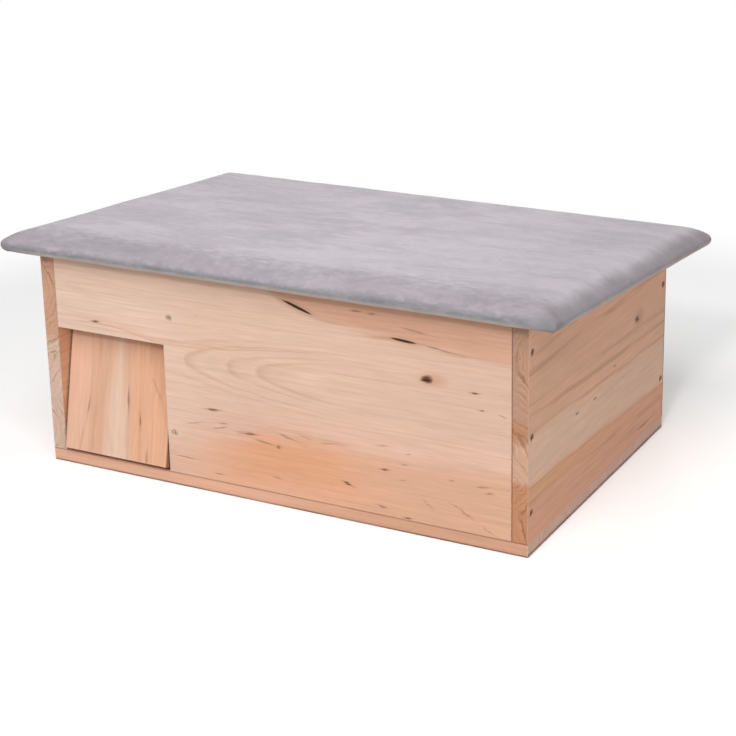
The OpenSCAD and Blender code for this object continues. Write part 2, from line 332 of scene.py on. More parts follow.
def sliver(graph, along, across, mark):
    """1 in the core of a mark with pointed ends and 0 beyond its rim."""
    out = along - mark.along
    off = across - mark.across - out * mark.slope
    reach = (out / (mark.length / 2)) ** 2 + abs(off) / (mark.height / 2)
    return graph.smooth(reach, 1.3, 0.3)


def grown(mark, longer, higher):
    """The same mark at several times its size."""
    return mark._replace(length=mark.length * longer, height=mark.height * higher)


def line(graph, across, course, width):
    """1 on a thin line that follows a course, and 0 beside it."""
    return graph.smooth(abs(across - course), width, 0)


def span(graph, along, start, end, fade):
    """1 between two places along the grain, fading at both."""
    return graph.smooth(along, start, start + fade) * graph.smooth(along, end, end - fade)


def ring_radius(graph, places, rings, layers):
    """Distance from the pith, which wanders along the board and jumps from one glued strip to the next."""
    along, across, inward = places
    _, pith, extra = rings.strips[0]
    for (top, from_pith, from_extra), (_, to_pith, to_extra) in zip(rings.strips, rings.strips[1:]):
        above = graph.smooth(across, top - 0.2, top + 0.2)
        pith = pith + above * (to_pith - from_pith)
        extra = extra + above * (to_extra - from_extra)
    off = across - pith + layers.slow * 6
    depth = graph.curve(along, rings.depth) + inward + extra
    return (off * off + depth * depth) ** 0.5 + layers.slow * 2.5 + layers.fine * 0.6


def late_wood(graph, radius, width, seed):
    """1 on the dark late wood of each growth ring, with rings of uneven width and weight."""
    count = radius / width + graph.noise(graph.vector(radius * 0.12, seed, 0), detail=1) * 2.4
    whole = graph.math("FLOOR", count)
    part = count - whole
    weight = graph.node("ShaderNodeTexWhiteNoise", {"W": whole}, noise_dimensions="1D")
    return graph.smooth(part, 0.15, 0.8) * graph.smooth(part, 1, 0.8) * (weight * weight * 0.8 + 0.2)


def wood_layers(graph, places, seed):
    """The noise that a board's rings, fibres and marks share."""
    along, across, inward = places

    def grain(long_rate, cross_rate, detail=2, roughness=0.5):
        """Noise drawn out along the grain."""
        spot = graph.vector(along * long_rate + seed, across * cross_rate, inward * cross_rate)
        return graph.noise(spot, detail=detail, roughness=roughness)

    return Layers(
        slow=grain(0.006, 0.03, detail=3),
        fine=grain(0.03, 0.25),
        streak=grain(0.007, 0.2, detail=3),
        fibre=grain(0.02, 0.9, detail=4, roughness=0.65),
        pore=grain(0.09, 2.2, roughness=0.7),
        vein=grain(0.012, 0.45, detail=3, roughness=0.6),
        fog=grain(0.01, 0.035),
        scatter=grain(0.05, 0.5, detail=1, roughness=0.4),
        blot=graph.noise(graph.vector(across * 0.06, inward * 0.1, seed), detail=3),
        speck=graph.noise(graph.vector(along * 0.2, across * 0.7, inward * 0.9), detail=3, roughness=0.7),
    )


def add_dashes(graph, base, layers):
    """Short brown dashes that lie in clusters."""
    dash = graph.smooth(layers.scatter + layers.fog * 0.25, 0.25, 0.4)
    return graph.mix(dash * 0.45, base, STREAK_AND_SHADE_BROWN)


def add_flecks(graph, base, places, layers, flecks):
    """Dark broken slivers with fainter and longer tails."""
    along, across, _ = places
    bent = across + layers.fibre * 1.4 + layers.fine * 3
    tails, cores = [], []
    for mark in flecks:
        tails.append(sliver(graph, along + layers.fibre * 20, bent, grown(mark, 1.6, 0.9)) * mark.strength)
        cores.append(sliver(graph, along + layers.fibre * 8, bent, grown(mark, 0.8, 0.8)) * mark.strength)
    broken = graph.smooth(layers.fibre + layers.pore * 0.6, -0.2, 0.12) * 0.45 + 0.55
    base = graph.mix(graph.highest(tails) * broken * 0.45, base, STREAK_AND_SHADE_BROWN)
    return graph.mix(graph.highest(cores) * broken, base, FLECK_BROWN)


def add_knot(graph, base, places, layers, knot):
    """A ragged dark knot in a warm halo that trails along the grain."""
    along, across, _ = places
    trail = along - knot.length * 0.4 + layers.slow * 8
    halo = oval(graph, trail, across + layers.slow * 4, grown(knot, 2.2, 1.9))
    bend = layers.fine * 14 + layers.pore * 4
    core = oval(graph, along + bend, across + bend * 0.5, knot) * (1.1 + layers.fibre * 2 + layers.pore)
    base = graph.mix(halo * 0.55, base, WARM_BROWN)
    base = graph.mix(graph.smooth(core, 0.1, 0.6) * 0.85 * knot.strength, base, STREAK_AND_SHADE_BROWN)
    return graph.mix(graph.smooth(core, 0.6, 1) * knot.strength, base, BARK_AND_CRACK_SHADE)


def add_crack(graph, base, places, layers, crack):
    """A crack with a brown rim whose gaping middle is painted near-black as the shade inside it, and a wire that
    is 1 where it gapes.
    """
    along, across, _ = places
    rim = oval(graph, along, across + layers.fibre * 3, grown(crack, 1.4, 3))
    middle = oval(graph, along + layers.fibre, across + layers.pore * 1.2, grown(crack, 0.8, 0.8))
    gape = graph.smooth(middle, 0, 0.4)
    base = graph.mix(rim * 0.5, base, RING_BROWN)
    # Painted shade: the gap of the crack is painted near-black.
    return graph.mix(gape, base, BARK_AND_CRACK_SHADE), gape


def add_end_rings(graph, end, layers, late, strength):
    """End grain: its rings cut across, with fine pores."""
    shown = graph.smooth(layers.blot + layers.speck * 0.4, -0.2, 0.15)
    end = graph.mix(late * shown * strength, end, STREAK_AND_SHADE_BROWN)
    return graph.shade(end, 1.06 + layers.speck * 0.6 + layers.blot * 0.4)


def add_dark_line(graph, base, places, facings, layers, joint):
    """A dark line on the faces that look along one axis: dirt in a joint with another board, and painted contact
    shadow where the floor board stands on the floor.
    """
    patchy = graph.smooth(layers.slow + layers.fine, -0.35, 0.15) * 0.5 + 0.5
    dirt_and_shade = line(graph, places[joint.axis] + layers.fibre * 0.6, joint.place, joint.width) * joint.strength
    for axis in (ALONG, ACROSS, INWARD):
        if axis != joint.face:
            dirt_and_shade = dirt_and_shade * (1 - facings[axis])
    return graph.mix(dirt_and_shade * patchy, base, JOINT_DIRT_AND_CONTACT_SHADE)


def add_rub(graph, base, places, layers, edge):
    """A free corner that is rubbed pale, where two places meet."""
    (axis, place), (other_axis, other_place) = edge
    rub = line(graph, places[axis], place, RUB_W) * line(graph, places[other_axis], other_place, RUB_W)
    return graph.mix(rub * graph.smooth(layers.pore + layers.fibre, -0.1, 0.25) * 0.5, base, RUBBED)


def wood(
    name, board, rings, paint, paint_end=None, end_rings=0.8,
    flecks=(), knots=(), cracks=(), joints=(), edges=(),
):
    """Solid wood with growth rings, fibres and marks over the colours that its paints give."""
    material, graph = new_material(name)
    places, facings = board_place(graph, board)
    along, across, inward = places
    layers = wood_layers(graph, places, board.seed)
    end_grain = facings[ALONG]

    # Rings are cylinders round the pith, so a face cuts them into arches that come and go
    radius = ring_radius(graph, places, rings, layers) + end_grain * layers.blot * 16
    for knot in knots:
        radius = radius + oval(graph, along, across, grown(knot, 4, 3)) * 3
    late = late_wood(graph, radius, rings.width, board.seed)
    first, last = rings.strength
    strength = first + graph.smooth(along, rings.depth[0][0], rings.depth[-1][0]) * (last - first)
    shown = graph.smooth(layers.fog + layers.slow * 0.5, -0.25, 0.2) * strength

    base = graph.mix(late * shown, paint(graph, along, across, inward), RING_BROWN)
    close = layers.fibre * 0.26 + layers.pore * 0.12 + layers.vein * 0.24
    base = graph.shade(base, 1 + close + layers.streak * 0.2 + layers.fine * 0.16 + layers.fog * 0.1)
    height = 0.5 - late * 0.25 + layers.fibre * 0.5 + layers.pore * 0.35
    base = add_dashes(graph, base, layers)
    if flecks:
        base = add_flecks(graph, base, places, layers, flecks)
    for knot in knots:
        base = add_knot(graph, base, places, layers, knot)
    for crack in cracks:
        base, gape = add_crack(graph, base, places, layers, crack)
        height = height - gape * 4
    end = paint_end(graph, across, inward) if paint_end else graph.shade(base, 0.68)
    end_late = late_wood(graph, radius, END_RING, board.seed)
    base = graph.mix(end_grain, base, add_end_rings(graph, end, layers, end_late, end_rings))
    for joint in joints:
        base = add_dark_line(graph, base, places, facings, layers, joint)
    for edge in edges:
        base = add_rub(graph, base, places, layers, edge)

    roughness = 0.62 + layers.fibre * 0.2 - late * 0.08 + end_grain * 0.15
    graph.surface(base, roughness, graph.bump(height, GRAIN_DEPTH * MM), {"Specular IOR Level": 0.3})
    return material


# Each board's own axes

tilt = math.radians(FLAP_TILT)
flap_up = (0, math.sin(tilt), math.cos(tilt))
flap_in = (0, math.cos(tilt), -math.sin(tilt))
flap_corner = tuple(
    place - drop * FLAP_DROP - thick * FLAP_T / 2
    for place, drop, thick in zip((FLAP_PIVOT[0] - FLAP_W / 2, *FLAP_PIVOT[1:]), flap_up, flap_in)
)
half_w, half_d = BOX_W / 2, BOX_D / 2
right_joint = BOX_W - WALL_T
door_right = WALL_T + DOOR_W

FRONT = Board((-half_w, -half_d, 0), (1, 0, 0), (0, 0, 1), (0, 1, 0), 0)
RIGHT = Board((half_w, -half_d, FLOOR_T), (0, 1, 0), (0, 0, 1), (-1, 0, 0), 11)
LEFT = Board((-half_w, -half_d, FLOOR_T), (0, 1, 0), (0, 0, 1), (1, 0, 0), 23)
BACK = Board((half_w, half_d, 0), (-1, 0, 0), (0, 0, 1), (0, -1, 0), 37)
INNER = Board((door_right - half_w, WALL_T - half_d, FLOOR_T), (0, 1, 0), (0, 0, 1), (1, 0, 0), 41)
FLOOR = Board((-half_w, -half_d, 0), (1, 0, 0), (0, 0, 1), (0, 1, 0), 53)
FLAP = Board(flap_corner, flap_up, (1, 0, 0), flap_in, 67)
ROOF = Board((-ROOF_W / 2, -half_d - FRONT_OVERHANG, FLOOR_T + BACK_H), (1, 0, 0), (0, 1, 0), (0, 0, 1), 71)


def strip_paint(*strips):
    """Colours of the strips that a board is glued from, each as (upper limit, colour)."""

    def paint(graph, along, across, inward):
        streak = graph.noise(graph.vector(along * 0.008, across * 0.15, inward * 0.15), detail=3)
        limit, base = strips[0]
        joints = []
        for upper, shade in strips[1:]:
            base = graph.mix(graph.smooth(across + streak * 3, limit - 1, limit + 1), base, shade)
            joints.append(line(graph, across + streak * 3, limit, 1.2))
            limit = upper
        base = graph.mix(graph.smooth(streak, 0.02, 0.2) * 0.5, base, TAN)
        return graph.mix(graph.highest(joints) * graph.smooth(streak, -0.2, 0.2) * 0.6, base, WARM_BROWN)

    return paint


def end_strips(*strips):
    """Colours of the strips that show on a board's end, from below, each as (upper limit, colour)."""

    def paint(graph, across, inward):
        sway = graph.noise(graph.vector(across * 0.06, inward * 0.12, 3), detail=3) * 16
        limit, base = strips[0]
        for upper, shade in strips[1:]:
            base = graph.mix(graph.smooth(across + sway, limit - 5, limit + 5), base, shade)
            limit = upper
        return base

    return paint


# Front panel: courses as (distance from the left side, height above the ground)
FRONT_HEART = ((130, 20), (148, 28), (177, 50), (214, 64), (255, 73), (313, 71), (389, 68), (483, 70))
FRONT_RED = ((15, 147), (80, 147), (140, 139), (253, 150), (370, 160), (485, 170))
FRONT_TOP = ((220, 216), (264, 200), (292, 190), (341, 181), (395, 178), (485, 171))
FRONT_PITH = (
    (15, 60), (110, 60.3), (150, 60.4), (158, 60), (205, 57),
    (236, 55.4), (304, 52.5), (380, 51.5), (485, 51.4),
)
FRONT_PITH_ACROSS = 127.5
# Bold arches as (distance from the pith, strength)
FRONT_ARCHES = ((62.3, 0.2), (60, 0.38), (57, 0.38), (55.4, 0.5))


def paint_front(graph, along, across, inward):
    """Cream sapwood, an orange heart below, a tan corner above with painted eave shade in it, and a few bold
    arches.
    """
    drift = graph.noise(graph.vector(along * 0.02, across * 0.06, 0), detail=3)
    streak = graph.noise(graph.vector(along * 0.012, across * 0.2, 5), detail=3)
    below = graph.curve(along, FRONT_HEART) - across + drift * 10 + streak * 20
    # The cream is paler towards the left and darker towards the right.
    base = graph.mix(graph.smooth(along, 220, 480), CREAM, SAND)
    base = graph.mix(graph.smooth(along, 210, 90), base, PALE_CREAM)
    base = graph.mix(graph.smooth(below, -45, -6), base, PINK)
    deep = span(graph, along, 140, 400, 110) * graph.smooth(below, 0, 14) * graph.smooth(below, 62, 32)
    heart = graph.mix(deep, HEART, DEEP_HEART)
    heart = graph.mix(graph.smooth(along, 300, 400), heart, TAN)
    ripe = graph.smooth(along, 140, 235) * 0.6 + 0.4
    base = graph.mix(graph.smooth(below, -10, 10) * ripe, base, heart)
    above = across - graph.curve(along, FRONT_TOP) + drift * 6 + streak * 12
    # Painted shade: the tan corner under the roof is painted darker than its own tan, for the shade of the eave.
    base = graph.mix(graph.smooth(above, -6, 6), base, TOP_TAN_EAVE_SHADE)
    red = graph.curve(along, FRONT_RED) + drift * 2
    band = graph.smooth(across - red, -0.5, 0.5) * graph.smooth(across - red, 9, 2)
    base = graph.mix(band * span(graph, along, 0, 240, 60) * 0.35, base, HEART)
    off = across - FRONT_PITH_ACROSS + drift * 3
    depth = graph.curve(along, FRONT_PITH)
    radius = (off * off + depth * depth) ** 0.5 + drift * 0.5
    rim = span(graph, along, 190, 340, 30) * graph.smooth(streak, -0.15, 0.2)
    traces = [
        line(graph, across, red, 1.2) * span(graph, along, 10, 330, 60) * 0.4,
        line(graph, above, 0, 3) * graph.smooth(streak, -0.1, 0.25) * 0.7,
        line(graph, below, 0, 4) * rim * 0.6,
    ]
    shown = graph.smooth(drift + streak, -0.5, 0.15) * graph.smooth(along, 400, 230)
    for arch, strength in FRONT_ARCHES:
        rise = graph.smooth(radius, arch - 0.75, arch) * graph.smooth(radius, arch + 0.4, arch)
        traces.append(rise * shown * strength)
    return graph.mix(graph.highest(traces), base, RING_BROWN)


front_rings = Rings(((FLOOR_T + FRONT_H, FRONT_PITH_ACROSS, 0),), FRONT_PITH, 2.1, (0.3, 0.2))
front_flecks = (
    Mark(185.8, 82.6, 16, 2.8, 0.03, 0.85),
    Mark(225, 65.5, 16, 4, 0.1, 0.75),
    Mark(266, 69, 26, 2.8, -0.28, 0.34),
    Mark(284, 72.4, 13, 2.2, -0.2, 0.32),
    Mark(306, 70.6, 20, 2.2, 0.1, 0.28),
    Mark(241, 60, 28, 1.8, -0.1, 0.42),
    Mark(193.5, 66, 20, 2.4, 0.3, 0.4),
    Mark(197, 70.8, 12, 2.2, 0.05, 0.5),
    Mark(165, 66, 20, 2.4, 0.24, 0.3),
    Mark(153, 30, 34, 1.8, -0.02, 0.55),
    Mark(190, 20.2, 13, 2, 0, 0.45),
    Mark(252.7, 27.8, 11, 2.2, -0.1, 0.4),
    Mark(255, 58, 5, 5, 0, 0.55),
    Mark(326, 35.7, 11, 3.2, -0.3, 1),
    Mark(363.3, 56.3, 9, 2.8, 0.1, 0.85),
    Mark(360.7, 78.3, 14, 2, 0.15, 0.3),
    Mark(386.5, 75.3, 6, 2, 0.1, 0.4),
    Mark(383, 64.8, 8, 2.2, 0.1, 0.35),
    Mark(381.6, 49.2, 8, 2, 0.1, 0.3),
    Mark(428, 58.3, 9, 2.2, 0.1, 0.22),
    Mark(458, 57.2, 15, 2.2, 0.15, 0.4),
    Mark(464, 52.7, 8, 2.2, 0.15, 0.6),
    Mark(436, 32.8, 28, 2, -0.55, 0.36),
    Mark(443, 28.5, 9, 2.4, -0.5, 0.6),
    Mark(405, 31.3, 11, 3, -0.9, 0.3),
    Mark(359.5, 20.3, 12, 2.2, -0.1, 0.55),
    Mark(386, 14.5, 8, 2.6, 0, 0.8),
    Mark(464, 17, 17, 1.8, -0.5, 0.3),
    Mark(451, 142, 9, 2.4, 0.05, 0.9),
    Mark(457.3, 127.3, 5, 2, 0, 0.8),
    Mark(476, 125.7, 10, 1.8, -0.3, 0.45),
    Mark(59, 149.5, 9, 3, 0.02, 1),
    Mark(417, 176.3, 42, 2.2, -0.1, 0.45),
    Mark(394, 189.4, 38, 2.4, -0.1, 0.4),
    Mark(338, 199.5, 12, 2.6, 0.05, 0.6),
    Mark(353, 199.2, 11, 2.2, 0.05, 0.5),
)
front_knots = (Mark(406, 147.5, 14, 7.6, 0.05),)
front_cracks = (Mark(279, 194.5, 36, 3.6, -0.32), Mark(383.5, 179, 30, 2.8, -0.07))
front_joints = (
    Joint(ALONG, WALL_T, INWARD, strength=0.4),
    Joint(ALONG, right_joint, INWARD),
    Joint(ACROSS, FLOOR_T, INWARD),
)

# Side panels: courses as (distance behind the front, height above the floor board)
SIDE_LOW = ((0, 54), (118, 49), (BOX_D, 38))
SIDE_MIDDLE = ((0, 96), (116, 91), (BOX_D, 82))
SIDE_BROWN = ((0, 154), (114, 156), (BOX_D, 156))


def paint_side(graph, along, across, inward):
    """A reddish strip below, a pale strip, and a tan strip with brown lines above, with painted light and shade in
    the tan strip and painted shade on the inside face.
    """
    drift = graph.noise(graph.vector(along * 0.012, across * 0.05, inward * 0.05), detail=3)
    streak = graph.noise(graph.vector(along * 0.01, across * 0.2, inward * 0.2 + 9), detail=3)
    low = across - graph.curve(along, SIDE_LOW) + drift * 5 + streak * 9
    middle = across - graph.curve(along, SIDE_MIDDLE) + drift * 6 + streak * 10
    brown = across - graph.curve(along, SIDE_BROWN) + drift * 6 + streak * 10
    base = graph.mix(graph.smooth(low, -4, 3), SIDE_HEART, SIDE_PALE)
    base = graph.mix(line(graph, low, -9, 13) * graph.smooth(along, 300, 120) * 0.6, base, SIDE_OCHRE)
    # Painted light and shade: the tan strip is painted lighter towards the back, under the shade of the eave, and
    # darker at the front, where more light reaches it.
    tan_with_painted_light = graph.mix(graph.smooth(along, 20, 160), SIDE_TAN, SIDE_TAN_PAINTED_LIGHT)
    base = graph.mix(graph.smooth(middle, -4, 5), base, tan_with_painted_light)
    base = graph.mix(graph.smooth(low, -18, -36) * 0.35, base, SIDE_RED)
    # Painted shade: the inside face of each side panel is painted a darker brown for the shade inside the house.
    base = graph.mix(graph.smooth(inward, WALL_T - 3, WALL_T) * 0.8, base, SIDE_INNER_SHADE)
    # A dark line runs down the rear edge of each side panel.
    base = graph.mix(graph.smooth(along, BOX_D - 3, BOX_D - 0.5) * 0.7, base, STREAK_AND_SHADE_BROWN)
    traces = [
        line(graph, brown, 0, 4.5) * 0.75,
        line(graph, brown, 15, 3.5) * 0.45,
        line(graph, middle, 4, 3) * 0.5,
        line(graph, middle, 19, 4.5) * 0.65,
        line(graph, middle, 31, 3.5) * 0.35,
        line(graph, low, -3, 2.5) * 0.45,
        line(graph, low, -16, 3) * 0.5,
        line(graph, low, -29, 2.5) * 0.45,
    ]
    return graph.mix(graph.highest(traces) * graph.smooth(streak + drift, -0.35, 0.2), base, WARM_BROWN)


side_rings = Rings(
    ((54, 20, -24), (98, 130, 16), (FRONT_H, 165, -28)), ((0, 46), (120, 42), (BOX_D, 40)), 2.5, (0.14, 0.2)
)
side_flecks = (
    Mark(106.5, 82.4, 8, 3, 0, 0.9),
    Mark(149, 81.8, 8, 2.6, 0, 0.9),
    Mark(195.8, 97, 6, 2.4, 0, 0.8),
    Mark(276, 9.5, 42, 2, 0, 0.75),
    Mark(240, 16, 60, 1.8, 0, 0.3),
)
side_knots = (Mark(252.4, 125.5, 12, 9, 0, 0.7),)
right_joints = (Joint(INWARD, WALL_T, ALONG), Joint(ACROSS, 0, ALONG))
left_joints = (Joint(INWARD, WALL_T, ALONG, strength=0.3), Joint(ACROSS, 0, ALONG))
side_edges = (((ALONG, 0), (INWARD, 0)),)
right_ends = end_strips((56, END_ORANGE), (90, END_PALE), (114, END_BROWN), (FRONT_H, END_TAN))
left_ends = end_strips((114, END_PINK), (FRONT_H, END_WARM))

# Flap: courses as (height above its foot, distance from its left edge), for streaks with width and strength
FLAP_PALE_LEFT = ((0, 45), (60, 49), (FLAP_L, 57))
FLAP_PALE_RIGHT = ((0, 73), (60, 66), (FLAP_L, 58))
FLAP_STREAKS = (
    (((0, 17), (25, 21.5), (55, 26), (FLAP_L, 24)), 2.2, 0.5),
    (((0, 30), (25, 32), (80, 36), (FLAP_L, 31)), 3, 0.3),
    (((0, 41), (80, 42), (FLAP_L, 43)), 3.4, 0.25),
    (((0, 72), (48, 70.3), (68, 69), (FLAP_L, 66)), 2.2, 0.35),
    (((0, 86), (35, 84.5), (98, 80.5), (FLAP_L, 79)), 2.4, 0.4),
    (((0, 99), (60, 97), (FLAP_L, 90)), 3, 0.2),
)


def paint_flap(graph, along, across, inward):
    """Orange upright grain with a pale stripe and browner streaks, and painted shade down its two side edges."""
    drift = graph.noise(graph.vector(along * 0.01, across * 0.09, inward * 0.05), detail=3)
    streak = graph.noise(graph.vector(along * 0.008, across * 0.25, inward * 0.05 + 3), detail=3)
    place = across + drift * 6 + streak * 4
    base = graph.mix(graph.smooth(place, 20, 32), FLAP_PINK, TAN)
    left = place - graph.curve(along, FLAP_PALE_LEFT)
    right = graph.curve(along, FLAP_PALE_RIGHT) - place
    base = graph.mix(graph.smooth(place, 66, 82), base, FLAP_ORANGE)
    base = graph.mix(graph.smooth(left, -9, 6) * graph.smooth(right, -7, 5), base, FLAP_PALE)
    base = graph.mix(graph.smooth(place, 92, 112) * graph.smooth(along, 30, 100) * 0.7, base, DEEP_HEART)
    shown = graph.smooth(streak + drift, -0.3, 0.25)
    traces = []
    for course, width, strength in FLAP_STREAKS:
        traces.append(line(graph, across + drift * 2, graph.curve(along, course), width) * shown * strength)
    base = graph.mix(graph.highest(traces), base, WARM_BROWN)
    # Painted shade: both side edges of the flap are painted dark brown for the shadow in the gaps between the flap
    # and the walls.
    from_side = FLAP_W / 2 - abs(across - FLAP_W / 2)
    return graph.mix(graph.smooth(from_side, 1.3, 0.3) * 0.75, base, STREAK_AND_SHADE_BROWN)


flap_rings = Rings(((FLAP_W, 64, 0),), ((0, 40), (60, 36), (FLAP_L, 38)), 2.6, (0.2, 0.2))
flap_flecks = (
    Mark(46, 24.5, 26, 2.6, 0.15, 0.36),
    Mark(58, 69.6, 24, 2.2, -0.08, 0.6),
    Mark(40, 84.3, 14, 2.6, -0.05, 0.65),
    Mark(72, 101, 28, 4, -0.6, 0.2),
    Mark(5, 94.2, 18, 4, 0, 0.35),
)
flap_edges = (((ALONG, 0), (INWARD, 0)),)

# Floor board
FLOOR_TAN_FROM, FLOOR_TAN_TO = 190, 400


def paint_floor(graph, along, across, inward):
    """Pink at the left, turning tan to the right in long streaks."""
    streak = graph.noise(graph.vector(along * 0.006, across * 0.05, inward * 0.05), detail=3)
    return graph.mix(graph.smooth(along + streak * 150, FLOOR_TAN_FROM, FLOOR_TAN_TO), FLOOR_PINK, FLOOR_TAN)


# Other boards
left_flecks = (
    Mark(64, 118, 9, 2.8, 0, 0.8),
    Mark(180, 72, 12, 2.4, 0, 0.7),
    Mark(221, 66, 7, 2.4, 0, 0.8),
    Mark(262, 31, 36, 2, 0.02, 0.6),
)
left_knots = (Mark(142, 138, 13, 8, 0, 0.8),)
back_paint = strip_paint((58, HEART), (104, CREAM), (149, PINK), (FLOOR_T + BACK_H, SAND))
back_flecks = (
    Mark(86, 72, 14, 2.4, 0, 0.7),
    Mark(131, 92, 9, 2.6, 0.05, 0.8),
    Mark(246, 41, 30, 2, 0.03, 0.6),
    Mark(318, 126, 12, 2.6, 0, 0.8),
    Mark(402, 64, 20, 2.2, -0.04, 0.6),
)
back_knots = (Mark(188, 128, 15, 9, 0, 0.8), Mark(377, 36, 11, 7, 0, 0.7))
roof_paint = strip_paint((92, CREAM), (181, PINK), (269, SAND), (ROOF_D, CREAM))
inner_paint = strip_paint((62, PINK), (121, CREAM), (FRONT_H, SAND))
plain_rings = Rings(((ROOF_D, 90, 0),), ((0, 52), (200, 44), (560, 50)), 2.4, (0.25, 0.25))
edge_rings = Rings(((FLOOR_T, 30, 0),), ((0, 30), (half_w, 26), (BOX_W, 31)), 2.2, (0.2, 0.2))
floor_joints_and_contact_shade = (
    Joint(ACROSS, FLOOR_T, INWARD, strength=0.6),
    # Painted shade: the two lines at the board's foot are painted contact shadow where it stands on the floor.
    Joint(ACROSS, 0, INWARD, 2.6, 1),
    Joint(ACROSS, 0, ALONG, 4.5, 1),
)
floor_edges = (((ALONG, BOX_W), (INWARD, 0)), ((ALONG, 0), (INWARD, 0)))

wood_of = {
    "front_panel": wood(
        "front_wood", FRONT, front_rings, paint_front,
        flecks=front_flecks, knots=front_knots, cracks=front_cracks, joints=front_joints,
    ),
    "right_side_panel": wood(
        "right_wood", RIGHT, side_rings, paint_side, right_ends,
        flecks=side_flecks, knots=side_knots, joints=right_joints, edges=side_edges,
    ),
    "left_side_panel": wood(
        "left_wood", LEFT, side_rings, paint_side, left_ends,
        flecks=left_flecks, knots=left_knots, joints=left_joints, edges=side_edges,
    ),
    "back_panel": wood(
        "back_wood", BACK, plain_rings, back_paint, flecks=back_flecks, knots=back_knots, joints=front_joints
    ),
    "tunnel_partition": wood("inner_wood", INNER, plain_rings, inner_paint),
    "floor_board": wood(
        "floor_wood", FLOOR, edge_rings, paint_floor, end_strips((FLOOR_T, FLOOR_END)),
        end_rings=0.3, joints=floor_joints_and_contact_shade, edges=floor_edges,
    ),
    "entrance_flap": wood("flap_wood", FLAP, flap_rings, paint_flap, flecks=flap_flecks, edges=flap_edges),
    "roof_board": wood("roof_wood", ROOF, plain_rings, roof_paint),
}


# Steel

TARNISH = colour(112, 92, 78)
SCRATCH_DEPTH = 0.04


def steel(name, tone, dull):
    """Zinc-plated steel with cloudy tarnish and fine scratches."""
    material, graph = new_material(name)
    place = object_place(graph)
    cloud = graph.noise(place, scale=260, detail=4)
    scratch = graph.noise(place, scale=1400, detail=2)
    stain = graph.smooth(cloud, 0.05, 0.2)
    base = graph.shade(tone, 1 + cloud * 0.5 + scratch * 0.2)
    base = graph.mix(stain * dull, base, TARNISH)
    roughness = 0.38 + dull * 0.2 + cloud * 0.25
    graph.surface(base, roughness, graph.bump(scratch, SCRATCH_DEPTH * MM), {"Metallic": 1 - 0.4 * dull})
    return material


bright_steel = steel("bright_steel", colour(150, 149, 148), 0.35)
browned_steel = steel("browned_steel", colour(206, 184, 168), 0.5)
dark_steel = steel("dark_steel", colour(120, 104, 92), 0.8)

steel_of = {
    part["node"]: bright_steel for part in frame["record"]["subparts"] if part["material_slot"] == "steel"
}
steel_of["front_partition_screws"] = browned_steel
steel_of["left_panel_screws"] = dark_steel
steel_of["right_panel_screws"] = dark_steel


# Solids of the frame

WOOD_EDGE, STEEL_EDGE = 0.5, 0.12
WELD_GAP = 0.002
SHARP_ANGLE = 40


def dress(node, material, edge):
    """Gives a CAD solid its material and eases its sharp edges."""
    solid = frame["nodes"][node]
    for place in solid.material_slots:
        place.material = material
    weld = solid.modifiers.new("weld", "WELD")
    weld.merge_threshold = WELD_GAP * MM
    bevel = solid.modifiers.new("eased_edges", "BEVEL")
    bevel.width = edge * MM
    bevel.segments = 2
    bevel.limit_method = "ANGLE"
    bevel.angle_limit = math.radians(SHARP_ANGLE)


for node, material in wood_of.items():
    dress(node, material, WOOD_EDGE)
for node, material in steel_of.items():
    dress(node, material, STEEL_EDGE)


# Felt

to_roof = (
    Matrix.Translation(Vector((0, -half_d, FLOOR_T + FRONT_H)) * MM)
    @ Matrix.Rotation(-ROOF_SLOPE, 4, "X")
    @ Matrix.Translation(Vector((0, ROOF_D / 2 - FRONT_OVERHANG, SEAT_GAP)) * MM)
)
FELT_NOSE, FELT_CROWN, FELT_TOP = NOSE_R + FELT_T, CROWN_W + FELT_T, ROOF_T + FELT_T
FELT_CORNER_R, FELT_PILLOW_R = 6.5, 1.5
# The felt's own thickness, the depth of its nap and the gap over which its points are joined
FELT_SHEET, NAP_DEPTH, FELT_WELD = 1, 0.5, 0.02
# Waves of the felt: length over the roof, length upwards, shift and height
FELT_WAVES = ((70, 40, 0, 0.4), (22, 14, 7, 0.25))
# Ridge down each corner: its half width, how far it lies off the mitre and the drop over which it rises
PLEAT_W, PLEAT_OFF, PLEAT_DROP = 1.9, 1, 9
# Shallow folds and dents near the right edge: start, end, half width and height
FELT_FOLDS = (
    ((250, -46), (278, -66), 3.2, 1.1),
    ((256, -34), (274, -50), 2.6, 0.6),
    ((266, -80), (280, -92), 6, -0.7),
    ((262, -66), (276, -78), 2.4, -0.6),
)
FELT_GREY = colour(205, 198, 205)
FELT_PALE = colour(222, 212, 221)
FELT_PINK = colour(218, 200, 209)
FELT_RIM_SHADE = colour(143, 134, 140)
FELT_DIRT = colour(130, 132, 134)
FELT_BOUNCE_LIGHT = colour(222, 203, 191)
UNDER_STEPS, NOSE_STEPS, CROWN_STEPS = 4, 12, 12
CORNER_STEPS, WIDE_STEPS, DEEP_STEPS = 8, 160, 112


def arc(inset, height, radius, start, end, steps):
    """Points of a round stretch of the felt's section."""
    points = []
    for step in range(steps + 1):
        angle = start + (end - start) * step / steps
        outward, upward = math.cos(angle), math.sin(angle)
        points.append((inset - radius * outward, height + radius * upward, outward, upward))
    return points


def felt_section():
    """Points of the felt's edge as (inset, height, outward share, upward share), from below to the top."""
    border = FELT_TURN - FELT_NOSE
    under = [(FELT_TURN - border * step / UNDER_STEPS, -FELT_T, 0, -1) for step in range(UNDER_STEPS)]
    nose = arc(FELT_NOSE, NOSE_R, FELT_NOSE, -RIGHT_ANGLE, CROWN_TURN, NOSE_STEPS)
    crown = arc(FELT_CROWN, CROWN_Z, CROWN_R + FELT_T, CROWN_TURN, RIGHT_ANGLE, CROWN_STEPS)
    return under + nose + crown[1:]


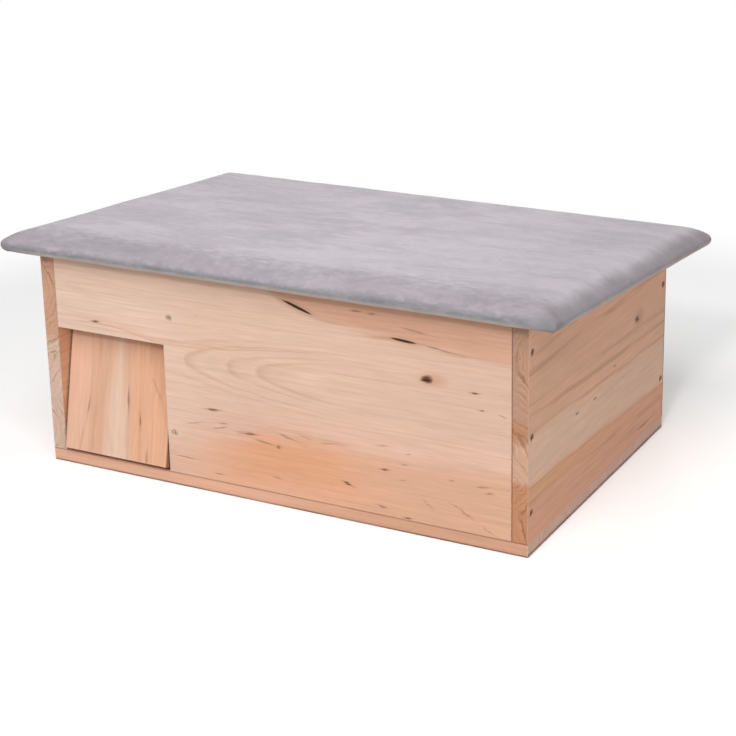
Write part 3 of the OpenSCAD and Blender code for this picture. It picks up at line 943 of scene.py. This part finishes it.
def felt_outline(inset):
    """Points round the roof, drawn in by an inset, as (place, outward direction)."""
    share = inset / FELT_CROWN
    radius = FELT_CORNER_R * max(0, 1 - share**2) + FELT_PILLOW_R * max(0, 4 * share * (1 - share))
    middle = Vector((ROOF_W / 2 - inset - radius, ROOF_D / 2 - inset - radius))
    points = []
    for quarter, (right, back) in enumerate(((1, 1), (-1, 1), (-1, -1), (1, -1))):
        centre = Vector((right * middle.x, back * middle.y))
        for step in range(CORNER_STEPS + 1):
            angle = RIGHT_ANGLE * (quarter + step / CORNER_STEPS)
            outward = Vector((math.cos(angle), math.sin(angle)))
            points.append((centre + outward * radius, outward))
        onward = Vector((-outward.y, outward.x))
        long_side = quarter % 2 == 0
        steps = WIDE_STEPS if long_side else DEEP_STEPS
        length = 2 * (middle.x if long_side else middle.y)
        for step in range(1, steps):
            points.append((centre + outward * radius + onward * length * step / steps, outward))
    return points


def felt_swell(place, height):
    """How far the felt stands off its even shape, in millimetres."""
    swell = 0
    for length, rise, shift, strength in FELT_WAVES:
        swell += noise.noise(Vector((place.x / length, place.y / length, height / rise + shift))) * strength
    for start, end, half_width, rise in FELT_FOLDS:
        first, course = Vector(start), Vector(end) - Vector(start)
        share = min(1, max(0, (place - first).dot(course) / course.length_squared))
        off = (place - first - course * share).length / half_width
        swell += rise * math.exp(-off * off)
    return swell


def felt_pleat(place, height):
    """Height of the ridge that the felt's fold makes down each corner."""
    off_mitre = (ROOF_W / 2 - abs(place.x)) - (ROOF_D / 2 - abs(place.y)) + PLEAT_OFF
    low = min(1, max(0, (FELT_TOP - height) / PLEAT_DROP))
    return low * math.exp(-((off_mitre / PLEAT_W) ** 2))


def felt_edge(mesh):
    """The border, the nose and the crown, as loops round the roof."""
    loops = []
    for inset, height, outward_share, upward_share in felt_section():
        loop = []
        for place, outward in felt_outline(inset):
            underneath = upward_share == -1
            offset = 0 if underneath else felt_swell(place, height) + felt_pleat(place, height)
            flat = place + outward * outward_share * offset
            loop.append(mesh.verts.new((flat.x, flat.y, height + upward_share * offset)))
        loops.append(loop)
    for lower, upper in zip(loops, loops[1:]):
        for index in range(len(lower)):
            after = (index + 1) % len(lower)
            mesh.faces.new((lower[index], lower[after], upper[after], upper[index]))


def felt_middle(mesh):
    """The level top inside the crown, as rows of points."""
    half_x, half_y = ROOF_W / 2 - FELT_CROWN, ROOF_D / 2 - FELT_CROWN
    rows = []
    for deep in range(DEEP_STEPS + 1):
        row = []
        for wide in range(WIDE_STEPS + 1):
            place = Vector((half_x * (2 * wide / WIDE_STEPS - 1), half_y * (2 * deep / DEEP_STEPS - 1)))
            row.append(mesh.verts.new((place.x, place.y, FELT_TOP + felt_swell(place, FELT_TOP))))
        rows.append(row)
    for front, behind in zip(rows, rows[1:]):
        for wide in range(WIDE_STEPS):
            mesh.faces.new((front[wide], front[wide + 1], behind[wide + 1], behind[wide]))


def felt_mesh():
    """The whole felt in one sheet, in metres and in its place on the roof."""
    mesh = bmesh.new()
    felt_edge(mesh)
    felt_middle(mesh)
    bmesh.ops.remove_doubles(mesh, verts=mesh.verts, dist=FELT_WELD)
    bmesh.ops.recalc_face_normals(mesh, faces=mesh.faces)
    for face in mesh.faces:
        face.smooth = True
    mesh.transform(to_roof @ Matrix.Scale(MM, 4))
    return mesh


def roof_place(graph):
    """The place on the roof in millimetres: across from its middle, back from its middle and up."""
    place = object_place(graph)
    from_roof = to_roof.inverted()
    wires = []
    for row in range(3):
        reach = tuple(part / MM for part in from_roof[row][:3])
        wires.append(graph.dot(place, reach) + from_roof[row][3] / MM)
    return wires


def felt_material():
    """Matt cloudy felt, faintly brushed and dirty along its front edge, with painted shade on its rims, its right
    end and the front of its crown, and painted bounced light round its lower edge.
    """
    material, graph = new_material("roof_felt_grey")
    x, y, z = roof_place(graph)
    from_side = ROOF_W / 2 - abs(x)
    from_front = y + ROOF_D / 2

    def mottle(long_rate, cross_rate, detail=3, roughness=0.6):
        """Noise drawn out along the roof's width."""
        spot = graph.vector(x * long_rate, y * cross_rate, z * cross_rate)
        return graph.noise(spot, detail=detail, roughness=roughness)

    wisp = mottle(0.013, 0.026, detail=4)
    broad = mottle(0.012, 0.02, detail=1)
    brush = mottle(0.035, 0.2) * graph.smooth(from_side, 6, 40)
    cloud = mottle(0.03, 0.05)
    patch = mottle(0.09, 0.16)
    nap = mottle(0.3, 0.5, roughness=0.7)
    fuzz = mottle(2, 2.4, detail=2, roughness=0.7)
    base = graph.mix(graph.smooth(wisp, -0.15, 0.15), FELT_GREY, FELT_PALE)
    base = graph.mix(graph.smooth(cloud, 0.04, 0.25) * 0.5, base, FELT_PINK)
    # Painted shade: the felt is painted darker near its sides (most on the right), over its right end and over the
    # front of its crown, where less light falls on it.
    side_rim_shade = graph.smooth(from_side + broad * 16, 20, 3)
    base = graph.mix(side_rim_shade * (graph.smooth(x, -60, 60) * 0.5 + 0.3), base, FELT_RIM_SHADE)
    base = graph.mix(graph.smooth(x + broad * 60, 130, 230) * 0.16, base, FELT_RIM_SHADE)
    base = graph.mix(graph.smooth(from_front + broad * 30 + patch * 36, 52, 2) * 0.6, base, FELT_RIM_SHADE)
    low = z + broad * 6 + patch * 12 - graph.smooth(x, 40, 160) * 2
    band = graph.smooth(low, 10, 4) * graph.smooth(from_front, 20, 8)
    base = graph.mix(band * (graph.smooth(patch, -0.2, 0.15) * 0.65 + 0.4), base, FELT_DIRT)
    # Painted light: a pale warm band round the lower edge stands in for light bounced up from the walls and floor
    # onto the underside of the nose. It is wider on the sides and fainter at the front corners.
    corner = graph.smooth(from_side, 40, 8) * graph.smooth(from_front, 40, 8)
    lower = graph.smooth(z + nap * 3 - side_rim_shade * 2, 4, 0) * (0.7 - corner * 0.6)
    base = graph.mix(lower, base, FELT_BOUNCE_LIGHT)
    base = graph.shade(base, 1 + nap * 0.2 + fuzz * 0.24 + brush * 0.06 + patch * 0.26 + cloud * 0.34)
    height = 0.5 + fuzz * 0.5 + nap * 0.5 + brush * 0.15
    normal = graph.bump(height, NAP_DEPTH * MM)
    graph.surface(base, 0.92 + nap * 0.1, normal, {"Specular IOR Level": 0.15, "Sheen Weight": 0.2})
    return material


felt = new_object("felt_cover", bpy.data.meshes.new("felt_cover"))
built = felt_mesh()
built.to_mesh(felt.data)
built.free()
felt.data.materials.append(felt_material())
thick = felt.modifiers.new("thickness", "SOLIDIFY")
thick.thickness = FELT_SHEET * MM
thick.offset = -1
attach(felt, "roof")
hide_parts("roof_felt")

# The felt was cut flat: its level top, and at each edge the way over the crown and nose to its border's end
edge_run = (
    (CROWN_R + FELT_T) * (RIGHT_ANGLE - CROWN_TURN)
    + FELT_NOSE * (RIGHT_ANGLE + CROWN_TURN)
    + FELT_TURN
    - FELT_NOSE
)
felt_cut = [(side - 2 * FELT_CROWN + 2 * edge_run) * MM for side in (ROOF_W, ROOF_D)]


# Floor and light, in metres

WHITE = (1, 1, 1, 1)
FLOOR_SIZE, FLOOR_DROP = 14, 0.0004
# Shade of the floor as the camera sees it and as it lights the house, and its own glow
FLOOR_SEEN, FLOOR_BOUNCE, FLOOR_GLOW = 0.99, 0.6, 0.2
# Distances from the house over which the floor fades to white
FADE_FROM, FADE_TO = 0.64, 0.88
# Light of the backdrop, and the point that the lamps look at
AMBIENT = 0.14
AIM = Vector((0, 0, 0.12))


def seen_rays(graph):
    """1 for rays that show the backdrop to the camera, directly or in metal and glass."""
    paths = graph.nodes.new("ShaderNodeLightPath")
    names = ("Is Camera Ray", "Is Glossy Ray", "Is Transmission Ray")
    return graph.highest([Wire(graph, paths.outputs[name]) for name in names])


def studio_white():
    """Matt white that glows a little and fades to plain white where the camera sees it."""
    material, graph = new_material("studio_white")
    seen = seen_rays(graph)
    away = graph.node("ShaderNodeVectorMath", {0: object_place(graph)}, "Value", operation="LENGTH")
    far = graph.smooth(away, FADE_FROM, FADE_TO) * seen
    shade = (FLOOR_BOUNCE + seen * (FLOOR_SEEN - FLOOR_BOUNCE)) * (1 - far)
    light = seen * FLOOR_GLOW + far * (1 - FLOOR_GLOW)
    glow = graph.node("ShaderNodeEmission", {"Color": WHITE, "Strength": light})
    matt = graph.node("ShaderNodeBsdfDiffuse", {"Color": shade})
    graph.show("ShaderNodeOutputMaterial", graph.node("ShaderNodeAddShader", {0: glow, 1: matt}))
    return material


def studio_floor():
    """A plain floor just below the house."""
    mesh = bpy.data.meshes.new("studio_floor")
    reach = FLOOR_SIZE / 2
    corners = [(-reach, -reach, 0), (reach, -reach, 0), (reach, reach, 0), (-reach, reach, 0)]
    mesh.from_pydata(corners, [], [(0, 1, 2, 3)])
    mesh.materials.append(studio_white())
    floor = new_object("studio_floor", mesh)
    floor.location.z = -FLOOR_DROP
    return floor


def studio_world():
    """A white backdrop that gives only a little light."""
    world = bpy.data.worlds.new("studio")
    world.use_nodes = True
    graph = Graph(world.node_tree)
    strength = AMBIENT + seen_rays(graph) * (1 - AMBIENT)
    sky = graph.node("ShaderNodeBackground", {"Color": WHITE, "Strength": strength})
    graph.show("ShaderNodeOutputWorld", sky)
    return world


def softbox(name, around, above, distance, size, power):
    """A square lamp at an angle round from the front and an angle above level, pointing at the house."""
    side, rise = math.radians(around), math.radians(above)
    towards = Vector((math.sin(side) * math.cos(rise), -math.cos(side) * math.cos(rise), math.sin(rise)))
    lamp = bpy.data.lights.new(name, "AREA")
    lamp.size = size
    lamp.energy = power
    lamp_object = new_object(name, lamp)
    lamp_object.location = AIM + towards * distance
    lamp_object.rotation_euler = towards.to_track_quat("Z", "Y").to_euler()


floor = studio_floor()
bpy.context.scene.world = studio_world()
softbox("key", around=14, above=32, distance=4, size=0.35, power=40)
softbox("wide", around=14, above=50, distance=4, size=2.4, power=88)
softbox("second", around=55, above=14, distance=4, size=0.6, power=31)
softbox("top", around=0, above=88, distance=3, size=2.4, power=7)
softbox("back", around=200, above=10, distance=4, size=1.2, power=32)


# Camera, in millimetres and degrees

CAMERA_TARGET = (9.8, 0, 155.1)
CAMERA_DISTANCE = 1817.8
CAMERA_YAW, CAMERA_PITCH, CAMERA_ROLL = 28.72, 18.04, -1.22
SENSOR_W, CAMERA_LENS = 36, 92.88
CAMERA_SHIFT_Y = -0.1005


def photo_camera():
    """A camera at the photo's viewing angle."""
    yaw, pitch, roll = (math.radians(angle) for angle in (CAMERA_YAW, CAMERA_PITCH, CAMERA_ROLL))
    ahead = Vector((-math.sin(yaw) * math.cos(pitch), math.cos(yaw) * math.cos(pitch), -math.sin(pitch)))
    level_right = Vector((math.cos(yaw), math.sin(yaw), 0))
    level_up = level_right.cross(ahead)
    right = level_right * math.cos(roll) + level_up * math.sin(roll)
    up = level_up * math.cos(roll) - level_right * math.sin(roll)
    lens = bpy.data.cameras.new("photo_camera")
    lens.sensor_width = SENSOR_W
    lens.lens = CAMERA_LENS
    lens.shift_y = CAMERA_SHIFT_Y
    camera = new_object("photo_camera", lens)
    place = (Vector(CAMERA_TARGET) - ahead * CAMERA_DISTANCE) * MM
    camera.matrix_world = Matrix.Translation(place) @ Matrix((right, up, -ahead)).transposed().to_4x4()
    return camera


bpy.context.scene.camera = photo_camera()
bpy.context.scene.view_settings.view_transform = "Standard"
